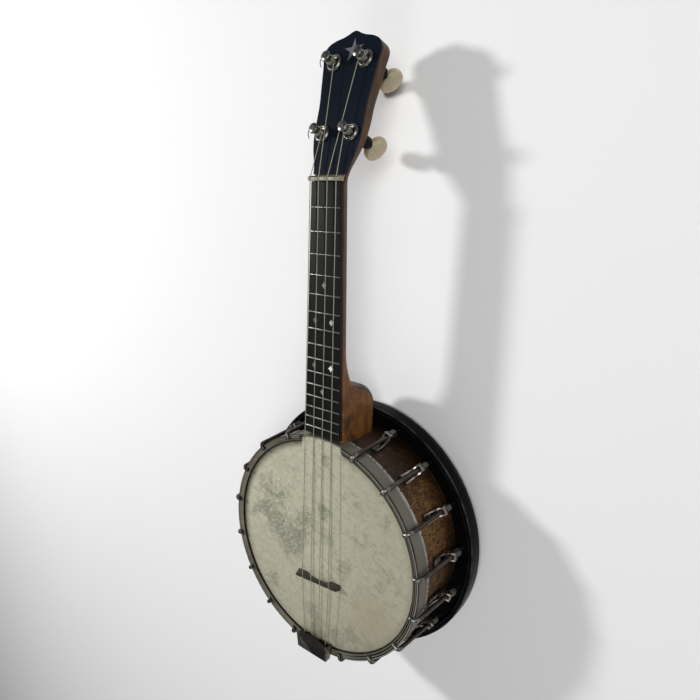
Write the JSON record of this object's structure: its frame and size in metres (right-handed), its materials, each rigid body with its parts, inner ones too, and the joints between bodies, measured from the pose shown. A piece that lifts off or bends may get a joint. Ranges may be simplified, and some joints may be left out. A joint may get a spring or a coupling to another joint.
{
  "type": "banjo ukulele",
  "caption": "Small four-string banjo ukulele with a closed-back resonator pot, hooked tension hoop, fretted neck and friction tuning pegs.",
  "frame": {"origin": "middle of the flat back of the resonator, which the instrument lies on", "axes": "+Y from the pot along the neck to the peghead, +Z out of the drumhead, +X to the right seen from the front"},
  "size_m": [0.241, 0.54, 0.088],
  "materials": {
    "resonator_lacquer": "high gloss black lacquer",
    "rim_walnut": "satin varnish",
    "neck_wood": "satin varnish",
    "head_skin": "matte skin, mottled",
    "flesh_hoop_metal": "dull nickel plate",
    "hoop_metal": "tarnished nickel plate",
    "board_wood": "dyed hardwood, satin",
    "nut_bone": "aged bone",
    "bridge_wood": "satin maple, dark strip on top",
    "tailpiece_metal": "worn nickel plate",
    "peghead_veneer": "black veneer, semi gloss",
    "hook_metal": "nickel plate",
    "shoe_metal": "nickel plate",
    "peg_metal": "nickel plate",
    "button_pearloid": "pearloid",
    "string_nylon": "smooth nylon"
  },
  "bodies": {
    "root": {"resonator": "resonator_lacquer", "rim": "rim_walnut", "dowel_stick": "neck_wood", "drumhead": "head_skin", "flesh_hoop": "flesh_hoop_metal", "tension_hoop": "hoop_metal", "neck": "neck_wood", "fingerboard": "board_wood", "nut": "nut_bone", "bridge": "bridge_wood", "tailpiece": "tailpiece_metal", "peghead_overlay": "peghead_veneer", "hook_right_1": "hook_metal", "shoe_right_1": "shoe_metal", "hook_left_1": "hook_metal", "shoe_left_1": "shoe_metal", "hook_right_2": "hook_metal", "shoe_right_2": "shoe_metal", "hook_left_2": "hook_metal", "shoe_left_2": "shoe_metal", "hook_right_3": "hook_metal", "shoe_right_3": "shoe_metal", "hook_left_3": "hook_metal", "shoe_left_3": "shoe_metal", "hook_right_4": "hook_metal", "shoe_right_4": "shoe_metal", "hook_left_4": "hook_metal", "shoe_left_4": "shoe_metal", "hook_right_5": "hook_metal", "shoe_right_5": "shoe_metal", "hook_left_5": "hook_metal", "shoe_left_5": "shoe_metal", "hook_right_6": "hook_metal", "shoe_right_6": "shoe_metal", "hook_left_6": "hook_metal", "shoe_left_6": "shoe_metal", "hook_right_7": "hook_metal", "shoe_right_7": "shoe_metal", "hook_left_7": "hook_metal", "shoe_left_7": "shoe_metal", "hook_right_8": "hook_metal", "shoe_right_8": "shoe_metal", "hook_left_8": "hook_metal", "shoe_left_8": "shoe_metal", "peg_bushing_upper_left": "peg_metal", "peg_bushing_upper_right": "peg_metal", "peg_bushing_lower_left": "peg_metal", "peg_bushing_lower_right": "peg_metal", "string_1": "string_nylon", "string_2": "string_nylon", "string_3": "string_nylon", "string_4": "string_nylon"},
    "peg_upper_left": {"peg_post_upper_left": "peg_metal", "peg_button_upper_left": "button_pearloid"},
    "peg_upper_right": {"peg_post_upper_right": "peg_metal", "peg_button_upper_right": "button_pearloid"},
    "peg_lower_left": {"peg_post_lower_left": "peg_metal", "peg_button_lower_left": "button_pearloid"},
    "peg_lower_right": {"peg_post_lower_right": "peg_metal", "peg_button_lower_right": "button_pearloid"}
  },
  "joints": [
    {"name": "peg_upper_left_turn", "type": "hinge", "parent": "root", "child": "peg_upper_left", "pos_m": [-0.01491, 0.39742, 0.05175], "axis": [0, 0.2588, 0.9659], "continuous": true},
    {"name": "peg_upper_right_turn", "type": "hinge", "parent": "root", "child": "peg_upper_right", "pos_m": [0.01491, 0.39742, 0.05175], "axis": [0, 0.2588, 0.9659], "continuous": true},
    {"name": "peg_lower_left_turn", "type": "hinge", "parent": "root", "child": "peg_lower_left", "pos_m": [-0.0139, 0.34561, 0.06564], "axis": [0, 0.2588, 0.9659], "continuous": true},
    {"name": "peg_lower_right_turn", "type": "hinge", "parent": "root", "child": "peg_lower_right", "pos_m": [0.0139, 0.34561, 0.06564], "axis": [0, 0.2588, 0.9659], "continuous": true}
  ]
}
